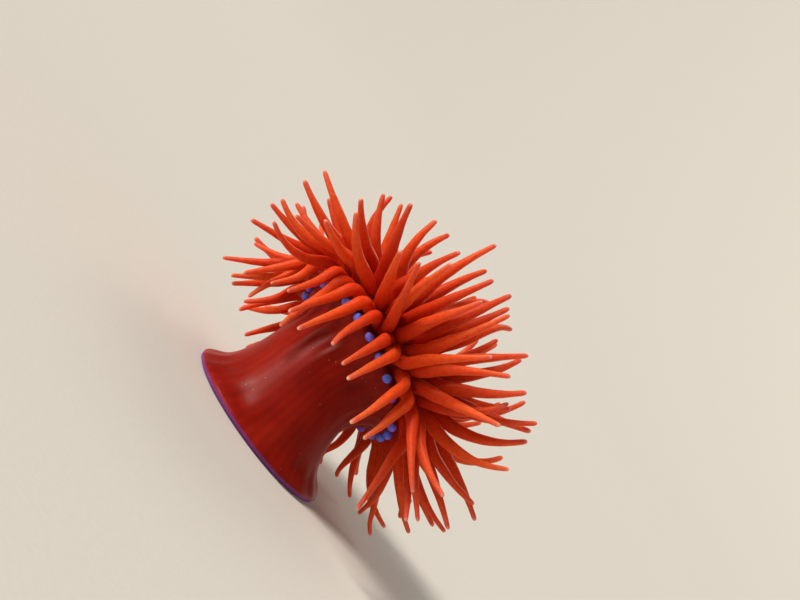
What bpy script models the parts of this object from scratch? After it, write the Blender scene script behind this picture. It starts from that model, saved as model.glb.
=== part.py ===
"""Beadlet anemone, a still model at life size: foot, column, collar with its blue beads, oral disc,
mouth and tentacles. Metres, +Z up. The origin is the middle of the foot's flat sole."""

import math
from typing import NamedTuple

import bmesh
import bpy
import numpy as np
from mathutils import Matrix

MM = 0.001
GAP = 0.3 * MM  # left between neighbouring pieces
SEED = 11

# The spine stands up from the sole, bends over in one arc, and runs on straight to the crown.
LEAN = math.radians(28.7)
LEAN_HEADING = math.radians(22.2)  # from +Y towards +X
BEND_START = 2.5 * MM
BEND_END = 15.0 * MM
BEND_RADIUS = (BEND_END - BEND_START) / LEAN
SIDESTEP = 2.0 * MM  # how far the bend also carries the crown to -X

# Heights are measured along the spine, and radii from it.
FOOT_TOP = 3.0 * MM
COLUMN_TOP = 19.2 * MM
COLLAR_TOP = 22.0 * MM
COLLAR_RADIUS = 14.0 * MM
DISC_TOP = 26.4 * MM
DISC_RADIUS = 6.6 * MM

# The disc's margin is a fleshy roll, and the tentacles stand on it in rows, square to its surface.
ROLL_HEIGHT = 24.5 * MM
ROLL_RADIUS = 10.5 * MM
ROLL_GIRTH = 4.0 * MM
ROLL_STEPS = 4  # flats in one sector
SECTORS = 6

BEADS = 24
BEAD_RADIUS = 0.85 * MM
BEAD_HEIGHT = 20.2 * MM
BEAD_SINK = 0.4 * MM  # how far its middle stands off its flat seat

TENTACLE_GIRTH = 1.35 * MM  # radius at the thickest place
ROOT_DEPTH = 1.2 * MM  # how far a root is sunk in the roll
TENTACLE_SIDES = 5
PATH_STEPS = 24
STIFFNESS = 0.04  # how strongly a tentacle straightens out as it is pushed aside, each round
FREE_GAP = 0.6 * MM  # the least room between two tentacles
FLOOR_GAP = 1.5 * MM

BODY_SIDES = 16


class Row(NamedTuple):
    """One ring of tentacles on the roll. Angles are in degrees from the crown's axis."""

    root: float  # the way that its roots face
    count: int  # tentacles in a sector
    length: float
    girth: float  # share of TENTACLE_GIRTH
    lean: float  # the way that it bends over to
    swept: float  # the same where the crown is swept forward
    strays: float  # the share of them that isn't swept with the others
    hook: float  # how far the tips turn forward again, in radians
    flats: int  # lengths of tube in each


ROWS = (
    Row(-18, 1, 17.0 * MM, 1.0, 24, 14, 0.0, 0.75, 3),
    Row(8, 2, 17.5 * MM, 1.0, 46, 26, 0.0, 0.75, 3),
    Row(34, 3, 18.5 * MM, 1.0, 70, 36, 0.0, 0.75, 3),
    Row(60, 4, 19.0 * MM, 1.0, 96, 46, 0.0, 0.75, 4),
    Row(84, 5, 18.5 * MM, 0.95, 124, 54, 0.12, 0.65, 4),
    Row(103, 7, 18.5 * MM, 0.88, 154, 66, 0.62, 0.3, 4),
)
HANG = math.radians(22)  # how much further than its lean the outer row bends where it hangs most
HANG_HEADING = math.radians(-170)
SWEPT_HEADING = math.radians(-72)
SWEPT_SPREAD = math.radians(50)
OBLIQUE = 0.25  # share of its bend that a tentacle has made where it leaves the roll
LOW_SIDE = 0.07  # share by which tentacles are longer on the +X side, shorter on the other

SKIN_RED = "8E1614"
TENTACLE_RED = "D8331F"
DISC_RED = "A81C14"
LIP_RED = "C7402E"
BEAD_BLUE = "4B54F0"


# ---- the spine -------------------------------------------------------------------------------------


def spine_axes():
    """The horizontal way in which the body leans, and the level line square to it."""
    towards = np.array([math.sin(LEAN_HEADING), math.cos(LEAN_HEADING), 0.0])
    across = np.array([math.cos(LEAN_HEADING), -math.sin(LEAN_HEADING), 0.0])
    return towards, across


def leaned(points):
    """Points given round a straight upright spine, carried along as the spine bends over."""
    points = np.asarray(points, float)
    towards, across = spine_axes()
    out, side, height = points @ towards, points @ across, points[..., 2]
    turn = np.clip((height - BEND_START) / BEND_RADIUS, 0.0, LEAN)
    past = np.maximum(height - BEND_END, 0.0)
    before = np.minimum(height, BEND_START)
    reach = BEND_RADIUS - out
    out = BEND_RADIUS - reach * np.cos(turn) + past * math.sin(LEAN)
    up = before + reach * np.sin(turn) + past * math.cos(LEAN)
    level = out[..., None] * towards + side[..., None] * across
    level[..., 0] -= sidestep(height)
    level[..., 2] = up
    return level


def sidestep(height):
    """How far the spine has moved over to -X at a height along it."""
    share = np.clip((height - BEND_START) / (BEND_END - BEND_START), 0, 1)
    return SIDESTEP * share**2 * (3 - 2 * share)


def straightened(points):
    """The reverse of leaned. The sidestep depends on the height sought, so it takes a few rounds."""
    towards, across = spine_axes()
    height = points[..., 2]
    for _ in range(3):
        back = sidestep(height)[..., None] * [1.0, 0.0, 0.0]
        out, side = (points + back) @ towards - BEND_RADIUS, (points + back) @ across
        rise = points[..., 2] - BEND_START
        turn = np.clip(np.arctan2(rise, -out), 0.0, LEAN)
        height = BEND_START + BEND_RADIUS * turn + rise * np.cos(turn) + out * np.sin(turn)
    reach = rise * np.sin(turn) - out * np.cos(turn)
    level = (BEND_RADIUS - reach)[..., None] * towards + side[..., None] * across
    level[..., 2] = height
    return level


def crown_frame():
    """The roll's middle, and the crown's three axes as rows: two across, then its own."""
    middle = np.array([0.0, 0.0, ROLL_HEIGHT])
    origin = leaned(middle)
    axes = np.array([leaned(middle + step) - origin for step in np.eye(3) * MM]) / MM
    return origin, axes


# ---- the tentacles' centrelines --------------------------------------------------------------------


def tentacle_rows():
    """(sector, row, place in the row from -0.5 to 0.5 of a sector) of every tentacle, in order."""
    for sector in range(SECTORS):
        for row in ROWS:
            for index in range(row.count):
                yield sector, row, (index + 0.5) / row.count - 0.5


def grown_path(sector, row, place, random):
    """One tentacle's centreline in the crown's frame: it leaves the roll square to its surface, bends
    over to its row's lean, and its tip turns forward again."""
    pitch = 2 * math.pi / SECTORS
    root = math.radians(row.root) + random.normal(0, 0.03)
    depth = ROLL_GIRTH - ROOT_DEPTH
    reach = ROLL_RADIUS + depth * math.sin(root)
    room = pitch / 2 - 1.03 * TENTACLE_GIRTH * row.girth / reach  # keeps the root inside its own sector
    shift = np.clip(place * pitch + random.normal(0, 0.03), -room, room)
    around = (sector + 0.5) * pitch + shift
    hang = HANG * math.cos(around - HANG_HEADING) * (row.lean / ROWS[-1].lean) ** 2
    aside = math.remainder(around - SWEPT_HEADING, 2 * math.pi) / SWEPT_SPREAD
    swept = math.exp(-(aside**2)) * (random.uniform() > row.strays)
    lean = math.radians(row.lean) + hang
    lean += (math.radians(row.swept) - lean) * swept + random.normal(0, 0.17)
    tip_turn = random.normal(-row.hook, 0.4)
    sway = random.normal(0, 0.42)
    length = row.length * (1 + LOW_SIDE * math.cos(around)) * random.normal(1.0, 0.06) + ROOT_DEPTH
    share = (np.arange(PATH_STEPS) + 0.5) / PATH_STEPS
    tilt = lean - (lean - root) * (1 - OBLIQUE) * (1 - share) ** 2.5 + tip_turn * share**2
    heading = around + sway * share**1.5
    steps = np.stack([np.sin(tilt) * np.cos(heading), np.sin(tilt) * np.sin(heading), np.cos(tilt)])
    start = np.array([reach * math.cos(around), reach * math.sin(around), depth * math.cos(root)])
    return np.vstack([start, start + np.cumsum(steps.T, axis=0) * length / PATH_STEPS])


def girth_at(share):
    """A tentacle's radius along its length, as a share of the full one: narrow where it leaves the
    roll, fullest a fifth of the way out, then tapering to a blunt tip."""
    return np.interp(share, [0, 0.15, 0.4, 0.65, 0.85, 1], [0.88, 1, 0.84, 0.6, 0.4, 0.32])


def body_radius_at(height):
    """The outline of foot, column, collar and beads that the tentacles hang clear of."""
    heights = np.array([0.0, 2.5, 5.5, 11.5, 16.0, 18.5, 20.0, 22.0, 23.0]) * MM
    radii = np.array([16.2, 14.5, 12.2, 10.7, 11.0, 14.0, 16.4, 16.3, 0.0]) * MM
    return np.interp(height, heights, radii)


def spread_apart(paths, girths, rounds=70):
    """Pushes tentacles that cross apart, and off the body and the floor, and keeps their lengths. The
    roots stay where they are."""
    count, points = girths.shape
    owner = np.repeat(np.arange(count), points)
    other = owner[:, None] != owner[None, :]
    reach = ((girths.ravel()[:, None] + girths.ravel()[None, :] + FREE_GAP) * other).astype(np.float32)
    lengths = np.linalg.norm(np.diff(paths, axis=1), axis=2)
    loose = np.clip((np.arange(points) - 2) / 5, 0, 1)[None, :, None]
    for _ in range(rounds):
        flat = paths.reshape(-1, 3).astype(np.float32)
        square = (flat**2).sum(1)
        apart = np.sqrt(np.maximum(square[:, None] + square[None, :] - 2 * flat @ flat.T, 1e-12))
        push = np.where(apart < reach, (reach - apart) / apart * 0.5, 0)
        moves = (flat * push.sum(1)[:, None] - push @ flat).reshape(paths.shape)
        moves += clear_of_body(paths, girths) - paths
        for _ in range(3):
            moves[:, 1:-1] = (moves[:, :-2] + 2 * moves[:, 1:-1] + moves[:, 2:]) / 4
        moves[:, 1:-1] += STIFFNESS * (paths[:, :-2] + paths[:, 2:] - 2 * paths[:, 1:-1])
        paths = paths + moves * loose
        for k in range(1, points):
            step = paths[:, k] - paths[:, k - 1]
            step *= (lengths[:, k - 1] / np.linalg.norm(step, axis=1))[:, None]
            paths[:, k] = paths[:, k - 1] + step
    return paths


def clear_of_body(paths, girths):
    """The paths' points moved out of the body, the roll and the floor."""
    room = girths + FREE_GAP
    upright = straightened(paths)
    radius = np.maximum(np.hypot(upright[..., 0], upright[..., 1]), 1e-9)
    height = upright[..., 2]
    short = np.clip(body_radius_at(height) + room - radius, 0, 1.0 * MM)
    out, up = radius + short - ROLL_RADIUS, height - ROLL_HEIGHT
    swell = np.maximum(1, (ROLL_GIRTH + room) / np.maximum(np.hypot(out, up), 1e-9))
    upright[..., :2] *= ((ROLL_RADIUS + out * swell) / radius)[..., None]
    upright[..., 2] = ROLL_HEIGHT + up * swell
    moved = leaned(upright)
    moved[..., 2] = np.maximum(moved[..., 2], girths + FLOOR_GAP)
    return moved


def tentacle_paths():
    """Every tentacle's centreline in place, its radius at each point, and its sector and row."""
    random = np.random.default_rng(SEED)
    origin, axes = crown_frame()
    rows = list(tentacle_rows())
    paths = np.array([grown_path(*row, random) for row in rows]) @ axes + origin
    share = np.linspace(0, 1, PATH_STEPS + 1)
    girths = np.array([row.girth * TENTACLE_GIRTH * girth_at(share) for _, row, _ in rows])
    return spread_apart(paths, girths), girths, rows


# ---- making pieces ---------------------------------------------------------------------------------


def linear(colour):
    """A hex sRGB colour as Blender's linear one."""
    channels = [int(colour[i : i + 2], 16) / 255 for i in (0, 2, 4)]
    return [c / 12.92 if c <= 0.04045 else ((c + 0.055) / 1.055) ** 2.4 for c in channels]


def flesh(name, colour, roughness=0.35):
    material = bpy.data.materials.get(name) or bpy.data.materials.new(name)
    material.use_nodes = True
    shader = material.node_tree.nodes["Principled BSDF"]
    shader.inputs["Base Color"].default_value = (*linear(colour), 1)
    shader.inputs["Roughness"].default_value = roughness
    return material


def add_piece(name, mesh, material, collection):
    piece = bpy.data.objects.new(name, mesh)
    mesh.materials.clear()
    mesh.materials.append(material)
    mesh.shade_smooth()
    mesh.set_sharp_from_angle(angle=math.radians(40))
    collection.objects.link(piece)
    return piece


def evaluated_mesh(piece):
    """The object's mesh with its modifiers applied. The object itself is removed."""
    graph = bpy.context.evaluated_depsgraph_get()
    mesh = bpy.data.meshes.new_from_object(piece.evaluated_get(graph))
    mesh.transform(piece.matrix_world)
    bpy.data.objects.remove(piece)
    return mesh


def lean_mesh(mesh):
    """Bends a mesh modelled round the upright spine over with it."""
    points = np.array([vertex.co for vertex in mesh.vertices])
    mesh.vertices.foreach_set("co", leaned(points).astype(np.float32).ravel())
    mesh.update()
    return mesh


def turned(profile, sides=BODY_SIDES):
    """A solid turned about the spine from (radius, height) points in mm, from its top down."""
    mesh = bpy.data.meshes.new("profile")
    points = [(radius * MM, 0, height * MM) for radius, height in profile]
    mesh.from_pydata(points, [(i, i + 1) for i in range(len(points) - 1)], [])
    piece = bpy.data.objects.new("profile", mesh)
    bpy.context.scene.collection.objects.link(piece)
    screw = piece.modifiers.new("turn", "SCREW")
    screw.steps = screw.render_steps = sides
    screw.use_merge_vertices = True
    screw.merge_threshold = 0.01 * MM
    return evaluated_mesh(piece)


def foot_mesh():
    """The pedal disc: a flat sole with a thin rounded edge, rising to the column."""
    top = FOOT_TOP / MM
    edge = [(13.3, top), (14.6, 2.0), (15.7, 1.2), (16.0, 0.7), (15.7, 0.2), (15.2, 0)]
    return lean_mesh(turned([(0, top), *edge, (0, 0)]))


def column_mesh():
    """The column, waisted between the foot and the collar."""
    low, top = (FOOT_TOP + GAP) / MM, COLUMN_TOP / MM
    waist = [(11.5, 17.9), (10.8, 16.0), (10.45, 13.6), (10.6, 11.0), (11.05, 8.2), (11.8, 5.6)]
    return lean_mesh(turned([(0, top), (12.3, top), *waist, (13.0, low), (0, low)]))


def collar_mesh():
    """The column's top edge, a swollen lip with a groove inside it."""
    low, top = (COLUMN_TOP + GAP) / MM, COLLAR_TOP / MM
    lip = [(12.4, top), (12.9, 21.5), (13.5, 21.6), (13.9, 21.1), (COLLAR_RADIUS / MM, 20.4), (13.5, 19.8)]
    return lean_mesh(turned([(0, top), *lip, (12.5, low), (0, low)]))


def disc_mesh():
    """The oral disc inside the roll, dished round a flat middle for the mouth."""
    low, top, radius = (COLLAR_TOP + GAP) / MM, DISC_TOP / MM, DISC_RADIUS / MM
    return lean_mesh(turned([(0, top), (3.3, top), (5.0, top - 0.5), (radius, top), (radius, low), (0, low)]))


def mouth_mesh():
    """The lips: an oval mound with the mouth's slit across it."""
    mound, slit = bmesh.new(), bmesh.new()
    bmesh.ops.create_uvsphere(mound, u_segments=12, v_segments=6, radius=1.0)
    bmesh.ops.scale(mound, vec=(3.1 * MM, 2.4 * MM, 1.5 * MM), verts=mound.verts)
    halve(mound)
    bmesh.ops.create_uvsphere(slit, u_segments=8, v_segments=6, radius=1.0)
    bmesh.ops.scale(slit, vec=(2.1 * MM, 0.45 * MM, 1.1 * MM), verts=slit.verts)
    bmesh.ops.translate(slit, vec=(0, 0, 1.5 * MM), verts=slit.verts)
    mesh = combined(mesh_of(mound), mesh_of(slit), "DIFFERENCE")
    mesh.transform(Matrix.Translation((0, 0, DISC_TOP + GAP)))
    return lean_mesh(mesh)


def mesh_of(shape):
    """A bmesh as a mesh, with its faces pointing out."""
    bmesh.ops.recalc_face_normals(shape, faces=shape.faces)
    mesh = bpy.data.meshes.new("shape")
    shape.to_mesh(mesh)
    shape.free()
    return mesh


def combined(first, second, operation):
    """Two closed meshes made one by a Boolean."""
    piece = bpy.data.objects.new("first", first)
    tool = bpy.data.objects.new("second", second)
    for made in (piece, tool):
        bpy.context.scene.collection.objects.link(made)
    boolean = piece.modifiers.new(operation.lower(), "BOOLEAN")
    boolean.operation = operation
    boolean.object = tool
    boolean.solver = "EXACT"
    boolean.use_self = operation == "UNION"
    mesh = evaluated_mesh(piece)
    bpy.data.objects.remove(tool)
    return mesh


def bead_mesh():
    """One acrorhagus: a ball, cut flat at z = 0 where it sits on the collar."""
    ball = bmesh.new()
    bmesh.ops.create_uvsphere(ball, u_segments=6, v_segments=4, radius=BEAD_RADIUS)
    bmesh.ops.translate(ball, vec=(0, 0, BEAD_SINK), verts=ball.verts)
    halve(ball)
    return mesh_of(ball)


def halve(shape):
    """Cuts off what lies under z = 0, and closes the cut."""
    parts = [*shape.verts, *shape.edges, *shape.faces]
    cut = bmesh.ops.bisect_plane(shape, geom=parts, plane_co=(0, 0, 0), plane_no=(0, 0, -1), clear_outer=True)
    rim = [edge for edge in cut["geom_cut"] if isinstance(edge, bmesh.types.BMEdge)]
    bmesh.ops.contextual_create(shape, geom=rim)


def bead_place(index):
    """Where a bead sits on the collar's lip, facing out."""
    around = 2 * math.pi * (index + 0.5) / BEADS
    seat = np.array([math.cos(around), math.sin(around), 0]) * (COLLAR_RADIUS + GAP)
    seat[2] = BEAD_HEIGHT
    _, axes = crown_frame()
    turn = Matrix(axes.T) @ Matrix.Rotation(around, 3, "Z") @ Matrix.Rotation(math.radians(90), 3, "Y")
    return Matrix.Translation(leaned(seat)) @ turn.to_4x4()


def roll_sector_mesh(sector):
    """One sector of the roll, from its profile spun round the spine, with half a gap off each end."""
    middle, girth = ROLL_HEIGHT, ROLL_GIRTH
    low, inner = COLLAR_TOP + GAP, DISC_RADIUS + GAP
    arc = [math.radians(a) for a in (-61, -35, -5, 25, 55, 85, 118)]
    outline = [(inner, low), *((ROLL_RADIUS + girth * math.sin(a), middle + girth * math.cos(a)) for a in arc)]
    outline.append((ROLL_RADIUS + 0.55 * girth, low))
    pitch = 2 * math.pi / SECTORS
    shape = bmesh.new()
    start = [shape.verts.new((radius, 0, height)) for radius, height in outline]
    face = shape.faces.new(start)
    spun = bmesh.ops.spin(shape, geom=[face], axis=(0, 0, 1), cent=(0, 0, 0), angle=pitch, steps=ROLL_STEPS)
    end = [vertex for vertex in spun["geom_last"] if isinstance(vertex, bmesh.types.BMVert)]
    bmesh.ops.translate(shape, vec=(0, GAP / 2, 0), verts=start)
    back = (math.sin(pitch) * GAP / 2, -math.cos(pitch) * GAP / 2, 0)
    bmesh.ops.translate(shape, vec=back, verts=end)
    bmesh.ops.rotate(shape, cent=(0, 0, 0), matrix=Matrix.Rotation(sector * pitch, 3, "Z"), verts=shape.verts)
    return lean_mesh(mesh_of(shape))


def tube_section():
    """The outline that every tentacle's tube is swept with, of radius 1."""
    curve = bpy.data.curves.new("tube_section", "CURVE")
    spline = curve.splines.new("POLY")
    spline.points.add(TENTACLE_SIDES - 1)
    for k, point in enumerate(spline.points):
        turn = 2 * math.pi * k / TENTACLE_SIDES
        point.co = (math.cos(turn), math.sin(turn), 0, 1)
    spline.use_cyclic_u = True
    section = bpy.data.objects.new("tube_section", curve)
    section.hide_render = True
    section.display_type = "WIRE"
    bpy.context.scene.collection.objects.link(section)
    return section


def tentacles_mesh(members, section):
    """One sector's tentacles as closed tubes. members holds (path, girths, flats) of each."""
    curve = bpy.data.curves.new("tentacles", "CURVE")
    curve.dimensions = "3D"
    curve.bevel_mode = "OBJECT"
    curve.bevel_object = section
    curve.use_fill_caps = True
    for path, girths, flats in members:
        spline = curve.splines.new("POLY")
        spline.points.add(flats)
        for k, point in enumerate(spline.points):
            station = round(PATH_STEPS * (k / flats) ** 1.25)
            point.co = (*path[station], 1)
            point.radius = girths[station]
    piece = bpy.data.objects.new("tentacles", curve)
    bpy.context.scene.collection.objects.link(piece)
    mesh = evaluated_mesh(piece)
    welded = bmesh.new()
    welded.from_mesh(mesh)
    bmesh.ops.remove_doubles(welded, verts=welded.verts, dist=0.001 * MM)
    return mesh_of(welded)


# ---- the anemone -----------------------------------------------------------------------------------


def build_body(collection):
    skin = flesh("column_skin", SKIN_RED)
    add_piece("pedal_disc", foot_mesh(), skin, collection)
    add_piece("column", column_mesh(), skin, collection)
    add_piece("collar", collar_mesh(), skin, collection)
    add_piece("oral_disc", disc_mesh(), flesh("disc_skin", DISC_RED), collection)
    add_piece("mouth", mouth_mesh(), flesh("lip_skin", LIP_RED), collection)
    bead = bead_mesh()
    for index in range(BEADS):
        piece = add_piece(f"bead_{index + 1:02d}", bead, flesh("bead_skin", BEAD_BLUE, 0.2), collection)
        piece.matrix_world = bead_place(index)


def build_tentacles(collection):
    paths, girths, rows = tentacle_paths()
    section = tube_section()
    for sector in range(SECTORS):
        members = [
            (path, girth, row.flats) for path, girth, (where, row, _) in zip(paths, girths, rows) if where == sector
        ]
        mesh = combined(roll_sector_mesh(sector), tentacles_mesh(members, section), "UNION")
        add_piece(f"tentacles_{sector + 1}", mesh, flesh("tentacle_skin", TENTACLE_RED), collection)
    bpy.data.objects.remove(section)


def main():
    for old in list(bpy.data.objects):
        bpy.data.objects.remove(old)
    collection = bpy.data.collections.new("beadlet_anemone")
    bpy.context.scene.collection.children.link(collection)
    build_body(collection)
    build_tentacles(collection)


main()
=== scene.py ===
"""The looks of the beadlet anemone: one soft skin over foot, column, crown and tentacles, and the ring
of blue beads under it. Metres, +Z up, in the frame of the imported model."""

import math
from typing import NamedTuple

import bpy
import numpy as np
from mathutils import Matrix, Vector


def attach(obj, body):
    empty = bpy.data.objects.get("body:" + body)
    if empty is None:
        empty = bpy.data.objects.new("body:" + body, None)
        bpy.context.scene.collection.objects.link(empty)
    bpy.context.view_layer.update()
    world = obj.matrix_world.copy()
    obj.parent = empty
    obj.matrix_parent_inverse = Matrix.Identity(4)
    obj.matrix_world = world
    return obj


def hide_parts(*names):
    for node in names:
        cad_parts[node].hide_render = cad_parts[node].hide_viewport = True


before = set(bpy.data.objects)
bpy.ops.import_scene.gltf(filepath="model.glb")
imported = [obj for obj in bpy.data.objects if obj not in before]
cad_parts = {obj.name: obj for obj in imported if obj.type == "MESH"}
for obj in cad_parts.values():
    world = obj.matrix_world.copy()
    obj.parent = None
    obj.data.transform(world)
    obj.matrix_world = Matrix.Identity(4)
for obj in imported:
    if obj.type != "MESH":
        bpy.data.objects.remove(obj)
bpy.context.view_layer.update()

MM = 0.001
GAP = 0.3 * MM  # left between neighbouring pieces of the model
SEED = 11

# The spine stands up from the sole, bends over in one arc, and runs on straight to the crown.
LEAN = math.radians(28.7)
LEAN_HEADING = math.radians(22.2)  # from +Y towards +X
BEND_START = 2.5 * MM
BEND_END = 15.0 * MM
BEND_RADIUS = (BEND_END - BEND_START) / LEAN
SIDESTEP = 2.0 * MM  # how far the bend also carries the crown to -X

# The disc's margin is a fleshy roll. The tentacles stand on it in rows, nearly square to its surface.
COLLAR_RADIUS = 14.0 * MM
ROLL_HEIGHT = 24.5 * MM
ROLL_RADIUS = 10.5 * MM
ROLL_GIRTH = 4.0 * MM
SECTORS = 6

BEADS = 24
BEAD_RADIUS = 0.85 * MM
BEAD_HEIGHT = 20.2 * MM
BEAD_SINK = 0.4 * MM  # from the flat that a bead sits on, out to its middle

TENTACLE_GIRTH = 1.35 * MM
ROOT_DEPTH = 1.2 * MM  # how deep in the roll a tentacle's centreline starts
ROOT_ROOM = 1.03  # of its girth, kept between a root and the next sector
PATH_STEPS = 24
STIFFNESS = 0.04  # how strongly a tentacle straightens out as it is pushed aside, each round
FREE_GAP = 0.6 * MM  # the least room between two tentacles
FLOOR_GAP = 1.5 * MM


class Row(NamedTuple):
    """One ring of tentacles on the roll. Angles are in degrees from the crown's axis."""

    root: float  # the way that its roots face
    count: int  # tentacles in a sector
    length: float
    girth: float  # share of TENTACLE_GIRTH
    lean: float  # the way that it bends over to
    swept: float  # the same where the crown is swept forward
    strays: float  # the share of them that isn't swept with the others
    hook: float  # how far the tips turn forward again, in radians


ROWS = (
    Row(-18, 1, 17.0 * MM, 1.0, 24, 14, 0.0, 0.75),
    Row(8, 2, 17.5 * MM, 1.0, 46, 26, 0.0, 0.75),
    Row(34, 3, 18.5 * MM, 1.0, 70, 36, 0.0, 0.75),
    Row(60, 4, 19.0 * MM, 1.0, 96, 46, 0.0, 0.75),
    Row(84, 5, 18.5 * MM, 0.95, 124, 54, 0.12, 0.65),
    Row(103, 7, 18.5 * MM, 0.88, 154, 66, 0.62, 0.3),
)
HANG = math.radians(22)  # how much further than its lean the outer row bends where it hangs most
HANG_HEADING = math.radians(-170)  # round the crown, from +X towards +Y
SWEPT_HEADING = math.radians(-72)
SWEPT_SPREAD = math.radians(50)  # how quickly the sweep dies away to either side
OBLIQUE = 0.25  # share of its bend that a tentacle has made where it leaves the roll
LOW_SIDE = 0.07  # share by which tentacles are longer on the +X side, shorter on the other

# How much one tentacle differs from the next. The angles are in radians.
ROOT_SCATTER = 0.03
LEAN_SCATTER = 0.17
HOOK_SCATTER = 0.4
SWAY = 0.42  # how far a tentacle swings to one side by its tip
LENGTH_SCATTER = 0.06

# The fineness of the skin.
BODY_SIDES = 128
PROFILE_STEP = 0.42  # mm between the rings of the body
TUBE_SIDES = 14
TUBE_RINGS = 28

# What the skin adds to the tentacles' taper.
FLARE = 0.5  # how much wider they are where they grow out of the roll
FLARE_LENGTH = 0.6 * MM
UNEVENNESS = 0.05
TIP_STRETCH = 1.8  # how many times longer than round their tips are
TIP_TURNS = np.radians([18, 36, 54, 72])  # where the tip's rings lie on its quarter circle
PALE_POINT = 0.3 * MM  # keeps a tip's last ring a little short of the palest colour

# How deep the body's folds are, in mm.
CROWN_RIB = 0.32
FOOT_RIB = 0.16
BEAD_LOBE = 0.14
LIP_FOLD = 0.16
SLOW_SWELL = 0.16

# The sizes of the patterns, in mm.
FILM = 0.42  # patches where the wet film is thicker or thinner
CLOUD = 4.5  # slow changes of the column's maroon
SPECK_SPACING = 0.9
SPECK_DRIFT = 2.0  # how far apart the specks' drifts lie
MOTTLE = 0.77  # denser spots in a tentacle's flesh
GRAIN = 0.31
CREASE = 1.43
BEAD_CLOUD = 0.8
PAPER_FIBRE = 1.1

SPECK_SIZE = 0.09  # a speck's radius, as a share of their spacing
CROWN_START, CROWN_BLEND = 21.6, 1.2  # where the column's skin turns into the crown's, in mm


# ---- the spine -------------------------------------------------------------------------------------


def spine_axes():
    """The horizontal way in which the body leans, and the level line square to it."""
    towards = np.array([math.sin(LEAN_HEADING), math.cos(LEAN_HEADING), 0.0])
    across = np.array([math.cos(LEAN_HEADING), -math.sin(LEAN_HEADING), 0.0])
    return towards, across


def leaned(points):
    """Points given round a straight upright spine, carried along as the spine bends over."""
    points = np.asarray(points, float)
    towards, across = spine_axes()
    out, side, height = points @ towards, points @ across, points[..., 2]
    turn = np.clip((height - BEND_START) / BEND_RADIUS, 0.0, LEAN)
    past = np.maximum(height - BEND_END, 0.0)
    before = np.minimum(height, BEND_START)
    reach = BEND_RADIUS - out
    out = BEND_RADIUS - reach * np.cos(turn) + past * math.sin(LEAN)
    up = before + reach * np.sin(turn) + past * math.cos(LEAN)
    level = out[..., None] * towards + side[..., None] * across
    level[..., 0] -= sidestep(height)
    level[..., 2] = up
    return level


def sidestep(height):
    """How far the spine has moved over to -X at a height along it."""
    share = np.clip((height - BEND_START) / (BEND_END - BEND_START), 0, 1)
    return SIDESTEP * share**2 * (3 - 2 * share)


def straightened(points):
    """The reverse of leaned. The sidestep depends on the height sought, so it takes a few rounds."""
    towards, across = spine_axes()
    height = points[..., 2]
    for _ in range(3):
        back = sidestep(height)[..., None] * [1.0, 0.0, 0.0]
        out, side = (points + back) @ towards - BEND_RADIUS, (points + back) @ across
        rise = points[..., 2] - BEND_START
        turn = np.clip(np.arctan2(rise, -out), 0.0, LEAN)
        height = BEND_START + BEND_RADIUS * turn + rise * np.cos(turn) + out * np.sin(turn)
    reach = rise * np.sin(turn) - out * np.cos(turn)
    level = (BEND_RADIUS - reach)[..., None] * towards + side[..., None] * across
    level[..., 2] = height
    return level


def crown_frame():
    """The roll's middle, and the crown's three axes as rows: two across, then its own."""
    middle = np.array([0.0, 0.0, ROLL_HEIGHT])
    origin = leaned(middle)
    axes = np.array([leaned(middle + step) - origin for step in np.eye(3) * MM]) / MM
    return origin, axes


# ---- the tentacles' centrelines, as the model has them ---------------------------------------------


def tentacle_rows():
    """(sector, row, place in the row from -0.5 to 0.5 of a sector) of every tentacle, in order."""
    for sector in range(SECTORS):
        for row in ROWS:
            for index in range(row.count):
                yield sector, row, (index + 0.5) / row.count - 0.5


def grown_path(sector, row, place, random):
    """One tentacle's centreline in the crown's frame: it leaves the roll nearly square to its surface,
    bends over to its row's lean, and its tip turns forward again."""
    pitch = 2 * math.pi / SECTORS
    root = math.radians(row.root) + random.normal(0, ROOT_SCATTER)
    depth = ROLL_GIRTH - ROOT_DEPTH
    reach = ROLL_RADIUS + depth * math.sin(root)
    room = pitch / 2 - ROOT_ROOM * TENTACLE_GIRTH * row.girth / reach
    shift = np.clip(place * pitch + random.normal(0, ROOT_SCATTER), -room, room)
    around = (sector + 0.5) * pitch + shift
    hang = HANG * math.cos(around - HANG_HEADING) * (row.lean / ROWS[-1].lean) ** 2
    aside = math.remainder(around - SWEPT_HEADING, 2 * math.pi) / SWEPT_SPREAD
    swept = math.exp(-(aside**2)) * (random.uniform() > row.strays)
    lean = math.radians(row.lean) + hang
    lean += (math.radians(row.swept) - lean) * swept + random.normal(0, LEAN_SCATTER)
    tip_turn = random.normal(-row.hook, HOOK_SCATTER)
    sway = random.normal(0, SWAY)
    grown = row.length * (1 + LOW_SIDE * math.cos(around)) * random.normal(1.0, LENGTH_SCATTER)
    length = grown + ROOT_DEPTH
    share = (np.arange(PATH_STEPS) + 0.5) / PATH_STEPS
    tilt = lean - (lean - root) * (1 - OBLIQUE) * (1 - share) ** 2.5 + tip_turn * share**2
    heading = around + sway * share**1.5
    steps = np.stack([np.sin(tilt) * np.cos(heading), np.sin(tilt) * np.sin(heading), np.cos(tilt)])
    start = np.array([reach * math.cos(around), reach * math.sin(around), depth * math.cos(root)])
    return np.vstack([start, start + np.cumsum(steps.T, axis=0) * length / PATH_STEPS])


def girth_at(share):
    """A tentacle's radius along its length, as a share of the full one: fullest a little way from its
    root, and down to a third at its tip."""
    return np.interp(share, [0, 0.15, 0.4, 0.65, 0.85, 1], [0.88, 1, 0.84, 0.6, 0.4, 0.32])


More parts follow.
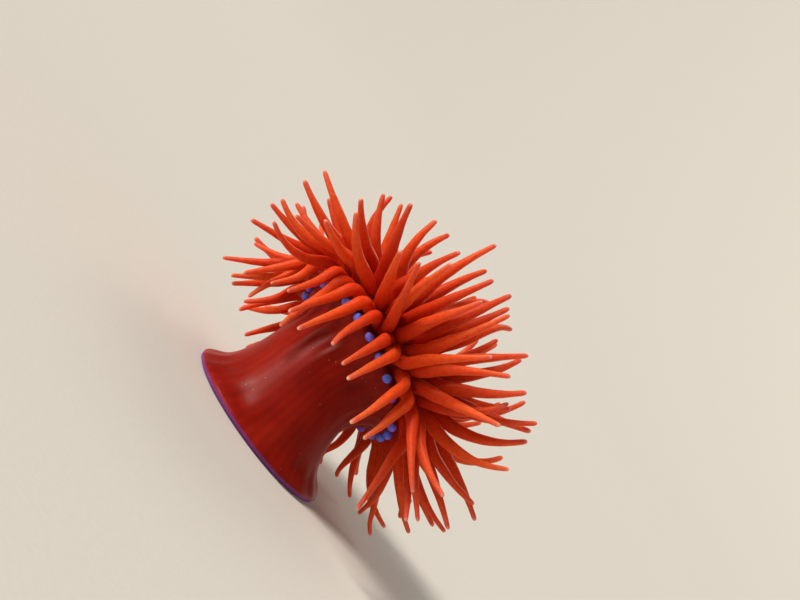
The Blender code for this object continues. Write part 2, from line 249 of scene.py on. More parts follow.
def body_radius_at(height):
    """The outline of foot, column, collar and beads that the tentacles hang clear of."""
    heights = np.array([0.0, 2.5, 5.5, 11.5, 16.0, 18.5, 20.0, 22.0, 23.0]) * MM
    radii = np.array([16.2, 14.5, 12.2, 10.7, 11.0, 14.0, 16.4, 16.3, 0.0]) * MM
    return np.interp(height, heights, radii)


def spread_apart(paths, girths, rounds=70):
    """Pushes tentacles that cross apart, and off the body and the floor, and keeps their lengths. The
    roots stay where they are, and the next few points move less than the rest."""
    count, points = girths.shape
    owner = np.repeat(np.arange(count), points)
    other = owner[:, None] != owner[None, :]
    girth = girths.ravel()
    reach = ((girth[:, None] + girth[None, :] + FREE_GAP) * other).astype(np.float32)
    lengths = np.linalg.norm(np.diff(paths, axis=1), axis=2)
    loose = np.clip((np.arange(points) - 2) / 5, 0, 1)[None, :, None]
    for _ in range(rounds):
        flat = paths.reshape(-1, 3).astype(np.float32)
        square = (flat**2).sum(1)
        apart = np.sqrt(np.maximum(square[:, None] + square[None, :] - 2 * flat @ flat.T, 1e-12))
        push = np.where(apart < reach, (reach - apart) / apart * 0.5, 0)
        moves = (flat * push.sum(1)[:, None] - push @ flat).reshape(paths.shape)
        moves += clear_of_body(paths, girths) - paths
        for _ in range(3):
            moves[:, 1:-1] = (moves[:, :-2] + 2 * moves[:, 1:-1] + moves[:, 2:]) / 4
        moves[:, 1:-1] += STIFFNESS * (paths[:, :-2] + paths[:, 2:] - 2 * paths[:, 1:-1])
        paths = paths + moves * loose
        for k in range(1, points):
            step = paths[:, k] - paths[:, k - 1]
            step *= (lengths[:, k - 1] / np.linalg.norm(step, axis=1))[:, None]
            paths[:, k] = paths[:, k - 1] + step
    return paths


def clear_of_body(paths, girths):
    """The paths' points moved out of the body, by 1 mm at most, and out of the roll and the floor."""
    room = girths + FREE_GAP
    upright = straightened(paths)
    radius = np.maximum(np.hypot(upright[..., 0], upright[..., 1]), 1e-9)
    height = upright[..., 2]
    short = np.clip(body_radius_at(height) + room - radius, 0, 1.0 * MM)
    out, up = radius + short - ROLL_RADIUS, height - ROLL_HEIGHT
    swell = np.maximum(1, (ROLL_GIRTH + room) / np.maximum(np.hypot(out, up), 1e-9))
    upright[..., :2] *= ((ROLL_RADIUS + out * swell) / radius)[..., None]
    upright[..., 2] = ROLL_HEIGHT + up * swell
    moved = leaned(upright)
    moved[..., 2] = np.maximum(moved[..., 2], girths + FLOOR_GAP)
    return moved


def tentacle_paths():
    """Every tentacle's centreline in place, and its radius at each point."""
    random = np.random.default_rng(SEED)
    origin, axes = crown_frame()
    rows = list(tentacle_rows())
    paths = np.array([grown_path(*row, random) for row in rows]) @ axes + origin
    share = np.linspace(0, 1, PATH_STEPS + 1)
    girths = np.array([row.girth * TENTACLE_GIRTH * girth_at(share) for _, row, _ in rows])
    return spread_apart(paths, girths), girths


# ---- making the skin -------------------------------------------------------------------------------


class Patch(NamedTuple):
    """A piece of the skin: points, faces, and for each face corner its place on the unwrap."""

    points: np.ndarray
    faces: list
    corners: np.ndarray
    along: np.ndarray  # 0 at a tentacle's root to 1 at its tip
    tone: np.ndarray  # a tentacle's own shade, from 0 to 1


def curve_through(points, spacing):
    """A smooth line through the given points, in steps of about that spacing."""
    points = np.asarray(points, float)
    padded = np.vstack([2 * points[0] - points[1], points, 2 * points[-1] - points[-2]])
    line = []
    for before, start, end, after in zip(padded, padded[1:], padded[2:], padded[3:]):
        steps = max(1, round(np.linalg.norm(end - start) / spacing))
        for share in np.arange(steps) / steps:
            line.append(spline_point(before, start, end, after, share))
    return np.array([*line, points[-1]])


def spline_point(before, start, end, after, share):
    """A point of the Catmull-Rom curve between start and end."""
    bend = 2 * before - 5 * start + 4 * end - after
    twist = 3 * start - before - 3 * end + after
    return start + share / 2 * (end - before + share * (bend + share * twist))


def tube_faces(rings, sides, first=0):
    """The four-sided faces between rings of points that close on themselves."""
    ring, side = np.meshgrid(np.arange(rings - 1), np.arange(sides), indexing="ij")
    after = (side + 1) % sides
    low, high = first + ring * sides, first + (ring + 1) * sides
    return np.stack([low + side, low + after, high + after, high + side], axis=-1).reshape(-1, 4)


def tube_corners(heights, sides):
    """The unwrap of tube_faces as a unit square. heights holds each ring's place up it."""
    ring, side = np.meshgrid(np.arange(len(heights) - 1), np.arange(sides), indexing="ij")
    left, right = side / sides, (side + 1) / sides
    low, high = heights[ring], heights[ring + 1]
    places = (left, low), (right, low), (right, high), (left, high)
    return np.stack([np.stack(place, axis=-1) for place in places], axis=2).reshape(-1, 2)


def body_profile():
    """(radius, height) of the body's skin in mm, from the sole's middle out and up to the throat."""
    sole = [(0.4, 0), (5.0, 0), (10.0, 0), (14.6, 0)]
    limb = [(15.3, 0.04), (15.85, 0.3), (16.0, 0.75), (15.7, 1.25), (14.7, 2.1), (13.4, 3.1)]
    column = [(12.5, 4.3), (11.75, 5.9), (11.05, 8.2), (10.6, 11.0)]
    neck = [(10.45, 13.6), (10.8, 16.0), (11.5, 17.9)]
    collar = [(12.4, 19.0), (13.5, 19.8), (14.0, 20.5), (13.85, 21.2), (13.3, 21.7), (12.75, 21.85)]
    groove = [(12.6, 22.15), (13.0, 22.5)]
    turns = np.radians([112, 90, 65, 40, 15, -10, -35, -58])
    radius, height, girth = ROLL_RADIUS / MM, ROLL_HEIGHT / MM, ROLL_GIRTH / MM
    roll = [(radius + girth * math.sin(turn), height + girth * math.cos(turn)) for turn in turns]
    disc = [(6.5, 26.25), (5.4, 25.95), (4.2, 26.05), (3.3, 26.6)]
    lips = [(2.7, 27.45), (2.0, 28.05), (1.35, 28.1), (0.85, 27.6)]
    throat = [(0.6, 26.6), (0.5, 25.4), (0.1, 25.0)]
    outside = [sole[-1], *limb, *column, *neck, *collar, *groove]
    inside = [groove[-1], *roll, *disc, *lips, *throat]
    under = curve_through(sole, 2.0)
    outer, inner = curve_through(outside, PROFILE_STEP), curve_through(inside, PROFILE_STEP)
    return np.vstack([under[:-1], outer[:-1], inner])


def body_patch():
    """The skin of foot, column, collar, groove, roll, disc and lips, closed at both ends. The mouth is
    drawn out along X and pressed together along Y into a slit."""
    profile = body_profile() * MM
    turn = np.arange(BODY_SIDES) * 2 * math.pi / BODY_SIDES
    radius, height = profile[:, 0][:, None], profile[:, 1][:, None]
    radius = radius + body_folds(radius / MM, height / MM, turn) * MM
    x, y = radius * np.cos(turn), radius * np.sin(turn)
    slit = np.clip((3.6 * MM - radius) / (3.0 * MM), 0, 1) * (height > 24 * MM)
    x, y = x * (1 + 1.4 * slit**2), y * (1 - 0.55 * slit)
    points = np.stack([x, y, height + 0 * turn], axis=-1).reshape(-1, 3)
    faces = tube_faces(len(profile), BODY_SIDES).tolist()
    heights = np.concatenate([[0], np.cumsum(np.linalg.norm(np.diff(profile, axis=0), axis=1))])
    corners = tube_corners(heights / heights[-1], BODY_SIDES)
    faces.append(list(range(BODY_SIDES))[::-1])
    faces.append(list(range(len(points) - BODY_SIDES, len(points))))
    ends = np.stack([np.cos(turn), np.sin(turn)], axis=-1) * 0.002
    corners = np.vstack([corners, ends[::-1] + (0.5, 0.002), ends + (0.5, 0.998)])
    none = np.zeros(len(points))
    return Patch(leaned(points), faces, corners, none, none + 0.5)


def near(value, middle, spread):
    """1 where the value is at the middle, fading to nothing on both sides of it."""
    return np.exp(-(((value - middle) / spread) ** 2))


def body_folds(radius, height, turn):
    """How far the skin swells or sinks, in mm: soft ribs under the crown and over the foot, a collar
    with a lobe for each bead, folded lips, and a slow unevenness all over."""
    under_crown = near(height, 16.5, 3.2) * (radius > 9)
    over_foot = near(height, 2.6, 1.7) * (radius > 9)
    at_collar = near(height, 20.7, 0.9) * (radius > 12)
    at_lips = near(radius, 2.2, 0.9) * (height > 26)
    uneven_ribs = np.sin(24 * turn + 0.5 * np.sin(3 * turn)) * np.sin(5 * turn + 1) ** 2
    ribs = CROWN_RIB * under_crown * uneven_ribs
    ribs = ribs + FOOT_RIB * over_foot * np.sin(17 * turn + 1.4 * np.sin(2 * turn))
    lobes = BEAD_LOBE * at_collar * np.cos(BEADS * turn + math.pi)
    lips = LIP_FOLD * at_lips * np.cos(16 * turn)
    uneven = np.sin(2 * turn + 0.4 * height) * 0.5 + np.sin(3 * turn - 0.55 * height + 2) * 0.3
    uneven = uneven + 0.2 * np.sin(5 * turn + 0.9 * height)
    calm = np.clip(radius / 8 - 0.6, 0, 1) * np.clip(height / 2, 0, 1)
    return ribs + lobes + lips + SLOW_SWELL * uneven * calm


def tentacle_patches(paths, girths):
    """The skin of every tentacle, as a tube with its root open in the roll and a closed tip."""
    random = np.random.default_rng(SEED + 1)
    paths = softened(paths)
    count = len(paths)
    length = np.linalg.norm(np.diff(paths, axis=1), axis=2).sum(1)
    distance = ring_distances(length, girths[:, -1])
    phase = random.uniform(0, 2 * math.pi, (3, count, 1))
    radius = ring_radii(distance, length, girths, phase)
    centre = path_points(paths, distance / length[:, None])
    normal, binormal = carried_frames(centre)
    turn = np.arange(TUBE_SIDES) * 2 * math.pi / TUBE_SIDES
    oval = 1 + UNEVENNESS * np.cos(2 * turn + (phase[2] + distance / (6 * MM))[..., None])
    cosine, sine = np.cos(turn)[:, None], np.sin(turn)[:, None]
    outward = normal[:, :, None] * cosine + binormal[:, :, None] * sine
    points = centre[:, :, None] + outward * (radius[..., None] * oval)[..., None]
    apex = path_points(paths, np.ones((count, 1)))[:, 0]
    tone = random.uniform(0, 1, count)
    return [tube_patch(points[k], apex[k], distance[k], tone[k]) for k in range(count)]


def ring_distances(length, tip):
    """How far along each tentacle its rings lie: close together where it leaves the roll, then in even
    steps, and then round the tip."""
    root = np.array([-0.5, -0.1, 0.2, 0.5, 0.9, 1.4]) * MM + ROOT_DEPTH
    shoulder = length - TIP_STRETCH * tip
    free = np.linspace(root[-1], shoulder, TUBE_RINGS + 1, axis=1)[:, 1:]
    end = shoulder[:, None] + TIP_STRETCH * tip[:, None] * np.sin(TIP_TURNS)
    return np.hstack([np.tile(root, (len(length), 1)), free, end])


def ring_radii(distance, length, girths, phase):
    """Each ring's radius: the tentacle's taper, flared at the roll, slightly uneven, and rounded off
    at the tip."""
    places = np.linspace(0, 1, girths.shape[1])
    share = distance / length[:, None]
    radius = np.array([np.interp(at, places, girth) for at, girth in zip(share, girths)])
    radius *= 1 + FLARE * np.exp(-free_length(distance) / FLARE_LENGTH)
    wave = np.sin(distance / (0.9 * MM) + phase[0]) * 0.4
    wave += np.sin(distance / (0.47 * MM) + phase[1]) * 0.25
    radius *= 1 + UNEVENNESS * wave
    radius[:, -len(TIP_TURNS) :] = girths[:, -1:] * np.cos(TIP_TURNS)
    return radius


def free_length(distance):
    """How much of a tentacle is out of the roll at a distance along it."""
    return np.maximum(distance - ROOT_DEPTH, 0)


def softened(paths, rounds=5):
    """The paths with their kinks eased, so that a tube's rings don't cross where it bends most."""
    for _ in range(rounds):
        eased = paths.copy()
        eased[:, 1:-1] = (paths[:, :-2] + 2 * paths[:, 1:-1] + paths[:, 2:]) / 4
        paths = np.array([evenly_spaced(path) for path in eased])
    return paths


def evenly_spaced(path):
    """The same line, with its points in equal steps."""
    along = np.concatenate([[0], np.cumsum(np.linalg.norm(np.diff(path, axis=0), axis=1))])
    steps = np.linspace(0, along[-1], len(path))
    return np.stack([np.interp(steps, along, path[:, axis]) for axis in range(3)], axis=-1)


def path_points(paths, share):
    """Points along each path, at shares of its length, on a smooth curve through its own."""
    last = paths.shape[1] - 1
    place = np.clip(share, 0, 1) * last
    index = np.minimum(place.astype(int), last - 1)
    each = np.arange(len(paths))[:, None]
    around = [paths[each, np.clip(index + k, 0, last)] for k in (-1, 0, 1, 2)]
    return spline_point(*around, (place - index)[..., None])


def carried_frames(centre):
    """Two directions across each tube at every ring, carried along it without a twist."""
    tangent = np.gradient(centre, axis=1)
    tangent /= np.linalg.norm(tangent, axis=2, keepdims=True)
    aslant = [0.3, 0.5, 0.8]
    start = np.cross(tangent[:, 0], aslant)
    normals = [start / np.linalg.norm(start, axis=1, keepdims=True)]
    for k in range(1, centre.shape[1]):
        along = (normals[-1] * tangent[:, k]).sum(1, keepdims=True)
        turned = normals[-1] - along * tangent[:, k]
        normals.append(turned / np.linalg.norm(turned, axis=1, keepdims=True))
    normal = np.stack(normals, axis=1)
    return normal, np.cross(tangent, normal)


def tube_patch(rings, apex, distance, tone):
    """One tentacle's rings closed at the tip, on a unit square of the unwrap."""
    points = np.vstack([rings.reshape(-1, 3), apex])
    top = 0.98  # where the last ring lies on the unwrap
    faces = tube_faces(len(rings), TUBE_SIDES).tolist()
    corners = [tube_corners(np.linspace(0, top, len(rings)), TUBE_SIDES)]
    last = (len(rings) - 1) * TUBE_SIDES
    for side in range(TUBE_SIDES):
        after = (side + 1) % TUBE_SIDES
        faces.append([last + side, last + after, len(points) - 1])
        left, middle, right = (side / TUBE_SIDES, (side + 0.5) / TUBE_SIDES, (side + 1) / TUBE_SIDES)
        corners.append([(left, top), (right, top), (middle, 1.0)])
    free = free_length(distance)
    place = free / (free[-1] + PALE_POINT)
    along = np.append(np.repeat(place, TUBE_SIDES), 1.0)
    return Patch(points, faces, np.vstack(corners), along, np.full(len(along), tone))


def skin_mesh(body, tentacles):
    """The patches as one mesh, unwrapped side by side, with the values that its material reads. The
    body's patterns lie on it as if it stood upright, and the tentacles' lie in plain space."""
    columns, start, margin = 15, 0.3, 0.06
    lines = math.ceil(len(tentacles) / columns)
    cell = np.array([(1 - start) / columns, 1 / lines])
    cells = [(np.array([0, 0]), np.array([start - 0.01, 1.0]))]
    for index in range(len(tentacles)):
        corner = np.array([start + (index % columns) * cell[0], (index // columns) * cell[1]])
        cells.append((corner + margin * cell, (1 - 2 * margin) * cell))
    patches = [body, *tentacles]
    faces, first = [], 0
    for patch in patches:
        faces.extend([[first + corner for corner in face] for face in patch.faces])
        first += len(patch.points)
    points = np.vstack([patch.points for patch in patches])
    mesh = bpy.data.meshes.new("skin")
    mesh.from_pydata(points.tolist(), [], faces)
    placed = [corner + patch.corners * size for patch, (corner, size) in zip(patches, cells)]
    unwrap = np.vstack(placed).astype(np.float32)
    mesh.uv_layers.new(name="OFBake").data.foreach_set("uv", unwrap.ravel())
    upright = np.vstack([straightened(body.points), points[len(body.points) :]]) / MM
    add_values(mesh, "upright", "FLOAT_VECTOR", upright)
    add_values(mesh, "along", "FLOAT", np.concatenate([patch.along for patch in patches]))
    add_values(mesh, "tone", "FLOAT", np.concatenate([patch.tone for patch in patches]))
    crown = np.clip((upright[:, 2] - CROWN_START) / CROWN_BLEND, 0, 1)
    crown[len(body.points) :] = 1
    add_values(mesh, "crown", "FLOAT", crown)
    mesh.shade_smooth()
    return mesh


def add_values(mesh, name, kind, values):
    """Values for the mesh's points, which its material reads by name."""
    field = mesh.attributes.new(name, kind, "POINT")
    key = "vector" if kind == "FLOAT_VECTOR" else "value"
    field.data.foreach_set(key, np.asarray(values, np.float32).ravel())


def bead_mesh():
    """All the beads in one mesh: soft balls, a little unlike each other, seated on the collar's
    lip."""
    random = np.random.default_rng(SEED + 2)
    sides, rings = 20, 12
    polar = (np.arange(rings) + 0.5) * math.pi / rings
    turn = np.arange(sides) * 2 * math.pi / sides
    out, up = np.sin(polar)[:, None], np.cos(polar)[:, None]
    ball = np.stack([out * np.cos(turn), out * np.sin(turn), up + 0 * turn], axis=-1).reshape(-1, 3)
    _, axes = crown_frame()
    points, faces, tones = [], [], []
    for index in range(BEADS):
        around = 2 * math.pi * (index + 0.5) / BEADS
        outward = np.array([math.cos(around), math.sin(around), 0])
        side = np.array([-math.sin(around), math.cos(around), 0])
        middle = outward * (COLLAR_RADIUS + GAP + BEAD_SINK) + np.array([0, 0, BEAD_HEIGHT])
        size = BEAD_RADIUS * random.uniform([0.94, 0.9, 0.94], [1.0, 1.0, 1.0])
        turned = (ball * size) @ np.array([side, [0, 0, 1], outward]) @ axes
        first = len(points) * len(ball)
        faces += tube_faces(rings, sides, first).tolist()
        faces += [list(range(first, first + sides))[::-1]]
        faces += [list(range(first + (rings - 1) * sides, first + rings * sides))]
        points.append(turned + leaned(middle))
        tones.append(np.full(len(ball), random.uniform(0, 1)))
    mesh = bpy.data.meshes.new("beads")
    mesh.from_pydata(np.vstack(points).tolist(), [], faces)
    add_values(mesh, "tone", "FLOAT", np.concatenate(tones))
    mesh.shade_smooth()
    return mesh


# ---- materials -------------------------------------------------------------------------------------


def linear(colour):
    """A hex sRGB colour in linear light, with an alpha of 1."""
    channels = [int(colour[i : i + 2], 16) / 255 for i in (0, 2, 4)]
    return (*(c / 12.92 if c <= 0.04045 else ((c + 0.055) / 1.055) ** 2.4 for c in channels), 1.0)


def new_material(name):
    """A material, its node tree, and its shader."""
    material = bpy.data.materials.new(name)
    material.use_nodes = True
    return material, material.node_tree, material.node_tree.nodes["Principled BSDF"]


def add_node(tree, kind, inputs=(), output=0, stops=(), **settings):
    """Adds a node and gives one of its outputs. The inputs are values or other nodes' outputs, and the
    stops are a colour ramp's (place, hex colour) pairs."""
    made = tree.nodes.new(kind)
    for name, value in settings.items():
        setattr(made, name, value)
    for _ in stops[2:]:
        made.color_ramp.elements.new(1.0)
    for index, (place, colour) in enumerate(stops):
        made.color_ramp.elements[index].position = place
        made.color_ramp.elements[index].color = linear(colour)
    for name, value in dict(inputs).items():
        if isinstance(value, bpy.types.NodeSocket):
            tree.links.new(value, made.inputs[name])
        else:
            made.inputs[name].default_value = value
    return made.outputs[output]


# A Mix node's sockets when it mixes colours.
MIX_A, MIX_B, MIXED = 6, 7, 2


def anemone_skin():
    """Living anemone skin: a thin wet film over watery flesh. The column is smooth maroon, dense and
    satin. The tentacles are clearer, so light runs through them and their edges glow."""
    material, tree, shader = new_material("wet_anemone_skin")
    upright = add_node(tree, "ShaderNodeAttribute", output="Vector", attribute_name="upright")
    crown = add_node(tree, "ShaderNodeAttribute", output="Fac", attribute_name="crown")
    column = column_colour(tree, upright)
    tentacle = tentacle_colour(tree, upright)
    skin = {0: crown, MIX_A: column, MIX_B: tentacle}
    colour = add_node(tree, "ShaderNodeMix", skin, MIXED, data_type="RGBA")
    tree.links.new(colour, shader.inputs["Base Color"])
    film = add_node(tree, "ShaderNodeTexNoise", {"Vector": upright, "Scale": 1 / FILM, "Detail": 3.0})
    gloss = add_node(tree, "ShaderNodeMapRange", {"Value": film, "To Min": 0.30, "To Max": 0.46})
    tree.links.new(gloss, shader.inputs["Roughness"])
    tree.links.new(skin_bump(tree, upright, crown), shader.inputs["Normal"])
    shader.inputs["IOR"].default_value = 1.36
    shader.inputs["Specular IOR Level"].default_value = 0.14
    clear = add_node(tree, "ShaderNodeMapRange", {"Value": crown, "To Min": 0.4, "To Max": 1.0})
    tree.links.new(clear, shader.inputs["Subsurface Weight"])
    shader.inputs["Subsurface Radius"].default_value = (1.0, 0.26, 0.12)
    shader.inputs["Subsurface Scale"].default_value = 2.4 * MM
    shader.inputs["Sheen Weight"].default_value = 0.03
    shader.inputs["Sheen Roughness"].default_value = 0.35
    shader.inputs["Sheen Tint"].default_value = linear("FF9C8A")
    return material


def column_colour(tree, upright):
    """Maroon with slow cloudy changes, faint lines where the inner walls join it, a scatter of fine
    pale specks, and the thin blue line round the foot's edge."""
    x, y, z = add_node(tree, "ShaderNodeSeparateXYZ", {"Vector": upright}).node.outputs[:]
    slow = {"Vector": upright, "Scale": 1 / CLOUD, "Detail": 4.0}
    cloud = add_node(tree, "ShaderNodeTexNoise", slow)
    maroon = [(0.3, "80140A"), (0.5, "8C180C"), (0.7, "961E0F")]
    colour = add_node(tree, "ShaderNodeValToRGB", {"Fac": cloud}, stops=maroon)
    turn = add_node(tree, "ShaderNodeMath", {0: y, 1: x}, operation="ARCTAN2")
    turns = add_node(tree, "ShaderNodeMath", {0: turn, 1: 2.0 * BEADS}, operation="MULTIPLY")
    wave = add_node(tree, "ShaderNodeMath", {0: turns}, operation="SINE")
    line = add_node(tree, "ShaderNodeMapRange", {"Value": wave, "From Min": -1.0, "To Max": 0.16})
    lined = {0: line, MIX_A: colour, MIX_B: linear("3E0608")}
    colour = add_node(tree, "ShaderNodeMix", lined, MIXED, data_type="RGBA")
    spacing = add_node(tree, "ShaderNodeTexVoronoi", {"Vector": upright, "Scale": 1 / SPECK_SPACING})
    speck = add_node(tree, "ShaderNodeMath", {0: spacing, 1: SPECK_SIZE}, operation="LESS_THAN")
    drift = add_node(tree, "ShaderNodeTexNoise", {"Vector": upright, "Scale": 1 / SPECK_DRIFT})
    here = add_node(tree, "ShaderNodeMath", {0: drift, 1: 0.56}, operation="GREATER_THAN")
    few = add_node(tree, "ShaderNodeMath", {0: speck, 1: here}, operation="MULTIPLY")
    faint = add_node(tree, "ShaderNodeMath", {0: few, 1: 0.5}, operation="MULTIPLY")
    specked = {0: faint, MIX_A: colour, MIX_B: linear("D9A79A")}
    colour = add_node(tree, "ShaderNodeMix", specked, MIXED, data_type="RGBA")
    edge = {"Value": z, "From Min": 1.0, "From Max": 0.65, "To Max": 0.42}
    rim = add_node(tree, "ShaderNodeMapRange", edge)
    rimmed = {0: rim, MIX_A: colour, MIX_B: linear("5B55B8")}
    return add_node(tree, "ShaderNodeMix", rimmed, MIXED, data_type="RGBA")


def tentacle_colour(tree, upright):
    """Scarlet, deeper at the root, lighter towards the tip, with a pale point. Each tentacle has a
    shade of its own. Inside their ring lies the disc."""
    along = add_node(tree, "ShaderNodeAttribute", output="Fac", attribute_name="along")
    tone = add_node(tree, "ShaderNodeAttribute", output="Fac", attribute_name="tone")
    scarlet = [
        (0.0, "B2220D"),
        (0.15, "CC3613"),
        (0.5, "D8501F"),
        (0.85, "DC6236"),
        (0.955, "D66A50"),
        (0.99, "F2B2A0"),
    ]
    length = add_node(tree, "ShaderNodeValToRGB", {"Fac": along}, stops=scarlet)
    value = add_node(tree, "ShaderNodeMapRange", {"Value": tone, "To Min": 0.86, "To Max": 1.1})
    hue = add_node(tree, "ShaderNodeMapRange", {"Value": tone, "To Min": 0.496, "To Max": 0.502})
    own = add_node(tree, "ShaderNodeHueSaturation", {"Color": length, "Value": value, "Hue": hue})
    spots = {"Vector": upright, "Scale": 1 / MOTTLE, "Detail": 4.0}
    mottle = add_node(tree, "ShaderNodeTexNoise", spots)
    depth = {"Value": mottle, "From Min": 0.4, "From Max": 0.75, "To Max": 0.3}
    patchy = add_node(tree, "ShaderNodeMapRange", depth)
    mottled = {0: patchy, MIX_A: own, MIX_B: linear("A3120A")}
    colour = add_node(tree, "ShaderNodeMix", mottled, MIXED, data_type="RGBA")
    x, y, _ = add_node(tree, "ShaderNodeSeparateXYZ", {"Vector": upright}).node.outputs[:]
    flat = add_node(tree, "ShaderNodeCombineXYZ", {"X": x, "Y": y})
    radius = add_node(tree, "ShaderNodeVectorMath", {0: flat}, "Value", operation="LENGTH")
    inside = add_node(tree, "ShaderNodeMapRange", {"Value": radius, "From Min": 8.0, "From Max": 6.0})
    bare = add_node(tree, "ShaderNodeMath", {0: along, 1: 0.002}, operation="LESS_THAN")
    disc = add_node(tree, "ShaderNodeMath", {0: inside, 1: bare}, operation="MULTIPLY")
    whole = {0: disc, MIX_A: colour, MIX_B: disc_colour(tree, x, y, radius)}
    return add_node(tree, "ShaderNodeMix", whole, MIXED, data_type="RGBA")


def disc_colour(tree, x, y, radius):
    """Deep red with paler lines that run in to the mouth, and pinkish lips."""
    turn = add_node(tree, "ShaderNodeMath", {0: y, 1: x}, operation="ARCTAN2")
    turns = add_node(tree, "ShaderNodeMath", {0: turn, 1: 36.0}, operation="MULTIPLY")
    wave = add_node(tree, "ShaderNodeMath", {0: turns}, operation="SINE")
    line = add_node(tree, "ShaderNodeMapRange", {"Value": wave, "From Min": -1.0, "To Max": 0.35})
    lined = {0: line, MIX_A: linear("A01A10"), MIX_B: linear("D8553C")}
    colour = add_node(tree, "ShaderNodeMix", lined, MIXED, data_type="RGBA")
    lip = add_node(tree, "ShaderNodeMapRange", {"Value": radius, "From Min": 3.4, "From Max": 2.2})
    lipped = {0: lip, MIX_A: colour, MIX_B: linear("DB6A55")}
    return add_node(tree, "ShaderNodeMix", lipped, MIXED, data_type="RGBA")


def skin_bump(tree, upright, crown):
    """Fine wrinkles: a soft grain on the tentacles, and faint creases round the column."""
    fine = {"Vector": upright, "Scale": 1 / GRAIN, "Detail": 4.0}
    grain = add_node(tree, "ShaderNodeTexNoise", fine)
    level = {0: upright, 1: (0.5, 0.5, 2.6)}
    stretched = add_node(tree, "ShaderNodeVectorMath", level, operation="MULTIPLY")
    coarse = {"Vector": stretched, "Scale": 1 / CREASE, "Detail": 4.0}
    crease = add_node(tree, "ShaderNodeTexNoise", coarse)
    soft = add_node(tree, "ShaderNodeMath", {0: crease, 1: 0.35}, operation="MULTIPLY")
    height = add_node(tree, "ShaderNodeMix", {0: crown, 2: soft, 3: grain}, data_type="FLOAT")
    relief = {"Height": height, "Strength": 0.35, "Distance": 0.12 * MM}
    return add_node(tree, "ShaderNodeBump", relief)


def bead_skin():
    """An acrorhagus: a tight glossy blister of stinging cells, bright blue, some of them violet."""
    material, tree, shader = new_material("acrorhagus_blister")
    tone = add_node(tree, "ShaderNodeAttribute", output="Fac", attribute_name="tone")
    blues = [(0.0, "6580FF"), (0.6, "7478FF"), (1.0, "9C46C4")]
    colour = add_node(tree, "ShaderNodeValToRGB", {"Fac": tone}, stops=blues)
    place = add_node(tree, "ShaderNodeTexCoord", output="Object")
    patches = {"Vector": place, "Scale": 1 / (BEAD_CLOUD * MM), "Detail": 2.0}
    cloud = add_node(tree, "ShaderNodeTexNoise", patches)
    milky = {"Value": cloud, "From Min": 0.5, "From Max": 0.8, "To Max": 0.45}
    pale = add_node(tree, "ShaderNodeMapRange", milky)
    clouded = {0: pale, MIX_A: colour, MIX_B: linear("A9B4FF")}
    blue = add_node(tree, "ShaderNodeMix", clouded, MIXED, data_type="RGBA")
    tree.links.new(blue, shader.inputs["Base Color"])
    shader.inputs["Roughness"].default_value = 0.18
    shader.inputs["IOR"].default_value = 1.38
    shader.inputs["Subsurface Weight"].default_value = 0.4
    shader.inputs["Subsurface Radius"].default_value = (0.3, 0.4, 1.0)
    shader.inputs["Subsurface Scale"].default_value = 0.5 * MM
    return material


def studio_paper():
    """Matt backdrop paper in a warm white, with fibres drawn coarser than real so that they show."""
    material, tree, shader = new_material("matt_backdrop_paper")
    place = add_node(tree, "ShaderNodeTexCoord", output="Object")
    pulp = {"Vector": place, "Scale": 1 / (PAPER_FIBRE * MM), "Detail": 2.0}
    fibre = add_node(tree, "ShaderNodeTexNoise", pulp)
    warm_white = [(0.3, "E8E5DF"), (0.7, "EBE8E2")]
    colour = add_node(tree, "ShaderNodeValToRGB", {"Fac": fibre}, stops=warm_white)
    tree.links.new(colour, shader.inputs["Base Color"])
    shader.inputs["Roughness"].default_value = 0.9
    return material


# ---- the object, the stage, the lights and the camera ----------------------------------------------


def add_piece(name, mesh, material, nodes):
    """A piece of the anemone, which stands for the named nodes of the model."""
    piece = bpy.data.objects.new(name, mesh)
    mesh.materials.append(material)
    bpy.context.scene.collection.objects.link(piece)
    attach(piece, "root")
    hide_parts(*nodes)
    return piece


def build_anemone():
    """One skin for all the nodes of flesh, and the ring of beads."""
    paths, girths = tentacle_paths()
    mesh = skin_mesh(body_patch(), tentacle_patches(paths, girths))
    flesh = ["pedal_disc", "column", "collar", "oral_disc", "mouth"]
    flesh += [f"tentacles_{sector + 1}" for sector in range(SECTORS)]
    add_piece("skin", mesh, anemone_skin(), flesh)
    beads = [f"bead_{index + 1:02d}" for index in range(BEADS)]
    add_piece("acrorhagi", bead_mesh(), bead_skin(), beads)


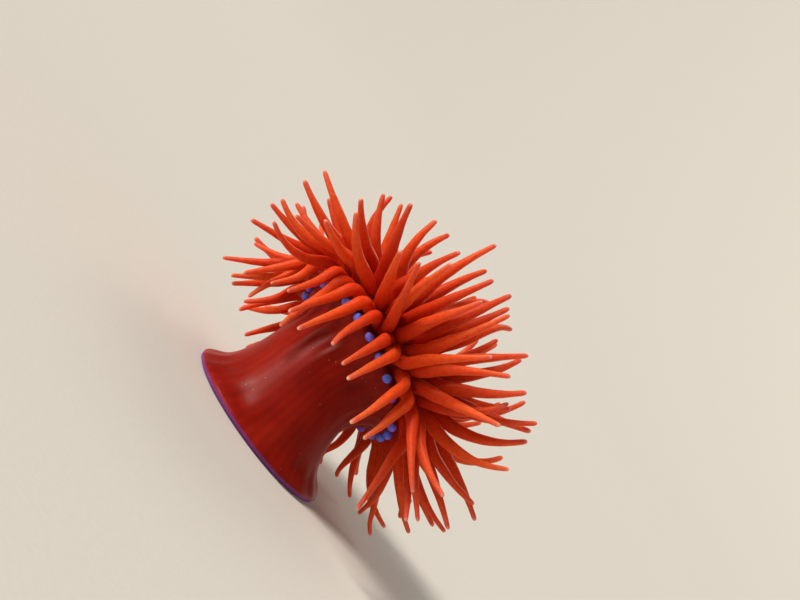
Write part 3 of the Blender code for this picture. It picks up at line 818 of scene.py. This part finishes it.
def build_stage():
    """A round floor that sweeps up far away, so that no edge or horizon shows."""
    flat, wall = 2.5, 6.0
    rises = np.radians([0, 8, 16, 24, 32, 40, 50, 60])
    sweep = [(flat + wall * math.sin(rise), wall * (1 - math.cos(rise))) for rise in rises]
    line = np.array([(0.001, 0.0), (0.3, 0.0), (1.0, 0.0), (1.8, 0.0), *sweep])
    sides = 96
    turn = np.arange(sides) * 2 * math.pi / sides
    rings = [np.stack([r * np.cos(turn), r * np.sin(turn), z + 0 * turn], axis=-1) for r, z in line]
    faces = [list(range(sides)), *tube_faces(len(line), sides).tolist()]
    mesh = bpy.data.meshes.new("floor")
    mesh.from_pydata(np.vstack(rings).tolist(), [], faces)
    mesh.materials.append(studio_paper())
    mesh.shade_smooth()
    floor = bpy.data.objects.new("floor", mesh)
    bpy.context.scene.collection.objects.link(floor)


def aimed(place, target, roll=0.0):
    """A transform at place, looking at target, rolled anticlockwise as seen from behind."""
    look = (Vector(target) - Vector(place)).normalized()
    turn = look.to_track_quat("-Z", "Y").to_matrix() @ Matrix.Rotation(roll, 3, "Z")
    return Matrix.Translation(place) @ turn.to_4x4()


def add_light(name, place, spread, strength, colour):
    """A distant soft light, of that many degrees across."""
    light = bpy.data.lights.new(name, "SUN")
    light.angle = math.radians(spread)
    light.energy = strength
    light.color = linear(colour)[:3]
    lamp = bpy.data.objects.new(name, light)
    lamp.matrix_world = aimed(place, (0, 0, 0))
    bpy.context.scene.collection.objects.link(lamp)


def build_lights():
    add_light("key", (-0.85, -0.38, 0.56), 16, 3.25, "FFF7EC")
    add_light("rim", (0.10, 0.85, 0.60), 24, 0.6, "FFF4E6")
    world = bpy.data.worlds.new("studio")
    world.use_nodes = True
    background = world.node_tree.nodes["Background"]
    background.inputs["Color"].default_value = linear("F4F0EA")
    background.inputs["Strength"].default_value = 0.19
    bpy.context.scene.world = world


def build_camera():
    """Low at the anemone's -Y side, rolled over so that its foot is at the lower left."""
    elevation, roll, distance = math.radians(4.5), math.radians(54), 0.30
    target = Vector((-3.15, 0.0, 33.0)) * MM
    away = Vector((0, -math.cos(elevation), math.sin(elevation)))
    camera = bpy.data.cameras.new("camera")
    camera.lens = 79
    camera.sensor_width = 36
    camera.clip_start = 0.01
    eye = bpy.data.objects.new("camera", camera)
    eye.matrix_world = aimed(target + away * distance, target, roll)
    bpy.context.scene.collection.objects.link(eye)
    bpy.context.scene.camera = eye


build_camera()
build_anemone()
build_stage()
build_lights()
bpy.context.scene.view_settings.view_transform = "Standard"

bpy.context.view_layer.update()
